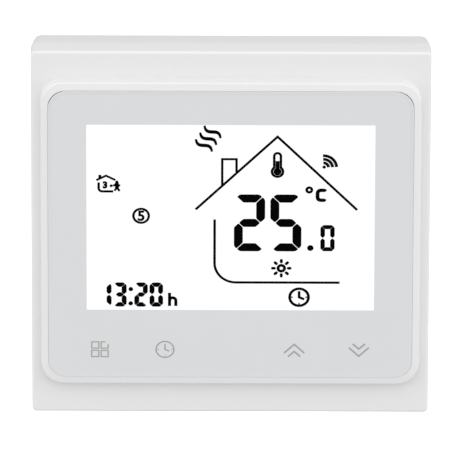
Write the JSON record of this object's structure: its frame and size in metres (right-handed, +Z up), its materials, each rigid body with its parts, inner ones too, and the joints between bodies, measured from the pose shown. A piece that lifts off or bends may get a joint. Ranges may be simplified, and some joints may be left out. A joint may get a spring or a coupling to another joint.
{
  "type": "wall thermostat",
  "caption": "Square white touch-key room thermostat with a lit LCD under glass, a clip-on front unit, a steel mounting plate and a rear power box with screw terminals.",
  "frame": {"origin": "on the wall plane, midway between the two wall-box screws, at the centre of the mounting plate's back face", "axes": "+Y points into the wall, so the screen faces -Y; +Z is up and +X is to the right of someone who looks at the screen"},
  "size_m": [0.086, 0.042, 0.086],
  "materials": {
    "white_abs": "fine satin moulded plastic, white",
    "glass": "polished glass, back-printed light grey",
    "tape": "black foam tape",
    "lcd": "polished, lit from behind",
    "acrylic": "clear-milky moulded light guide",
    "silicone": "matt elastomer strip",
    "circuit_board": "solder mask over glass-fibre laminate",
    "spring_steel": "bright drawn and rolled",
    "chip_black": "moulded epoxy",
    "shield_can": "tinned sheet",
    "bead_epoxy": "dipped epoxy",
    "connector_black": "moulded, satin",
    "zinc_steel": "bright zinc plated",
    "box_white": "fine textured moulded plastic",
    "relay_blue": "moulded, semi-gloss",
    "copper": "enamelled copper and plated strip",
    "ferrite": "sintered, matt",
    "capacitor_sleeve": "shrunk sleeve",
    "film_yellow": "moulded box",
    "varistor_blue": "dipped coating",
    "fuse_beige": "lacquered",
    "terminal_green": "moulded, satin",
    "brass": "nickel-free bright brass"
  },
  "bodies": {
    "wall_part": {"mounting_plate": "zinc_steel", "power_box": "box_white", "power_board": "circuit_board", "socket_header": "connector_black", "box_screw_1": "zinc_steel", "box_screw_2": "zinc_steel", "box_screw_3": "zinc_steel", "box_screw_4": "zinc_steel", "mounting_screw_left": "zinc_steel", "mounting_screw_right": "zinc_steel", "relay_case": "relay_blue", "relay_coil": "copper", "relay_yoke": "spring_steel", "relay_contact": "copper", "transformer": "ferrite", "supply_capacitor": "capacitor_sleeve", "filter_capacitor": "film_yellow", "varistor": "varistor_blue", "fuse": "fuse_beige", "terminal_block": "terminal_green", "terminal_bar_1": "brass", "terminal_bar_2": "brass", "terminal_bar_3": "brass", "terminal_bar_4": "brass", "terminal_bar_5": "brass", "terminal_bar_6": "brass"},
    "front_unit": {"front_housing": "white_abs", "touch_glass": "glass", "glass_adhesive": "tape", "lcd_panel": "lcd", "lcd_holder": "white_abs", "backlight_diffuser": "acrylic", "lcd_connector": "silicone", "main_board": "circuit_board", "touch_spring_1": "spring_steel", "touch_spring_2": "spring_steel", "touch_spring_3": "spring_steel", "touch_spring_4": "spring_steel", "microcontroller": "chip_black", "wifi_module": "shield_can", "room_sensor": "bead_epoxy", "pin_header": "connector_black", "rear_cover": "white_abs", "case_screw_1": "zinc_steel", "case_screw_2": "zinc_steel", "case_screw_3": "zinc_steel", "case_screw_4": "zinc_steel"},
    "relay_armature": {"relay_armature": "spring_steel"},
    "terminal_screw_1": {"terminal_screw_1": "zinc_steel"},
    "terminal_clamp_1": {"terminal_clamp_1": "brass"},
    "terminal_screw_2": {"terminal_screw_2": "zinc_steel"},
    "terminal_clamp_2": {"terminal_clamp_2": "brass"},
    "terminal_screw_3": {"terminal_screw_3": "zinc_steel"},
    "terminal_clamp_3": {"terminal_clamp_3": "brass"},
    "terminal_screw_4": {"terminal_screw_4": "zinc_steel"},
    "terminal_clamp_4": {"terminal_clamp_4": "brass"},
    "terminal_screw_5": {"terminal_screw_5": "zinc_steel"},
    "terminal_clamp_5": {"terminal_clamp_5": "brass"},
    "terminal_screw_6": {"terminal_screw_6": "zinc_steel"},
    "terminal_clamp_6": {"terminal_clamp_6": "brass"}
  },
  "joints": [
    {"name": "front_pull", "type": "slide", "parent": "wall_part", "child": "front_unit", "axis": [0, -1, 0], "range_m": [0, 0.012]},
    {"name": "armature_pivot", "type": "hinge", "parent": "wall_part", "child": "relay_armature", "pos_m": [-0.0134, 0.0216, 0.0089], "axis": [-1, 0, 0], "range_deg": [0, 4], "stiffness_Nm_per_rad": 0.02, "springref_deg": -5.73},
    {"name": "screw_turn_1", "type": "hinge", "parent": "wall_part", "child": "terminal_screw_1", "pos_m": [-0.01875, 0.0249, -0.0179], "axis": [0, -1, 0], "range_deg": [0, 2160]},
    {"name": "clamp_rise_1", "type": "slide", "parent": "wall_part", "child": "terminal_clamp_1", "axis": [0, 1, 0], "range_m": [0, 0.003]},
    {"name": "screw_turn_2", "type": "hinge", "parent": "wall_part", "child": "terminal_screw_2", "pos_m": [-0.01125, 0.0249, -0.0179], "axis": [0, -1, 0], "range_deg": [0, 2160]},
    {"name": "clamp_rise_2", "type": "slide", "parent": "wall_part", "child": "terminal_clamp_2", "axis": [0, 1, 0], "range_m": [0, 0.003]},
    {"name": "screw_turn_3", "type": "hinge", "parent": "wall_part", "child": "terminal_screw_3", "pos_m": [-0.00375, 0.0249, -0.0179], "axis": [0, -1, 0], "range_deg": [0, 2160]},
    {"name": "clamp_rise_3", "type": "slide", "parent": "wall_part", "child": "terminal_clamp_3", "axis": [0, 1, 0], "range_m": [0, 0.003]},
    {"name": "screw_turn_4", "type": "hinge", "parent": "wall_part", "child": "terminal_screw_4", "pos_m": [0.00375, 0.0249, -0.0179], "axis": [0, -1, 0], "range_deg": [0, 2160]},
    {"name": "clamp_rise_4", "type": "slide", "parent": "wall_part", "child": "terminal_clamp_4", "axis": [0, 1, 0], "range_m": [0, 0.003]},
    {"name": "screw_turn_5", "type": "hinge", "parent": "wall_part", "child": "terminal_screw_5", "pos_m": [0.01125, 0.0249, -0.0179], "axis": [0, -1, 0], "range_deg": [0, 2160]},
    {"name": "clamp_rise_5", "type": "slide", "parent": "wall_part", "child": "terminal_clamp_5", "axis": [0, 1, 0], "range_m": [0, 0.003]},
    {"name": "screw_turn_6", "type": "hinge", "parent": "wall_part", "child": "terminal_screw_6", "pos_m": [0.01875, 0.0249, -0.0179], "axis": [0, -1, 0], "range_deg": [0, 2160]},
    {"name": "clamp_rise_6", "type": "slide", "parent": "wall_part", "child": "terminal_clamp_6", "axis": [0, 1, 0], "range_m": [0, 0.003]}
  ],
  "couplings": [
    {"joint": "screw_turn_1", "follows": "clamp_rise_1", "rad_per_m": 12566},
    {"joint": "screw_turn_2", "follows": "clamp_rise_2", "rad_per_m": 12566},
    {"joint": "screw_turn_3", "follows": "clamp_rise_3", "rad_per_m": 12566},
    {"joint": "screw_turn_4", "follows": "clamp_rise_4", "rad_per_m": 12566},
    {"joint": "screw_turn_5", "follows": "clamp_rise_5", "rad_per_m": 12566},
    {"joint": "screw_turn_6", "follows": "clamp_rise_6", "rad_per_m": 12566}
  ]
}
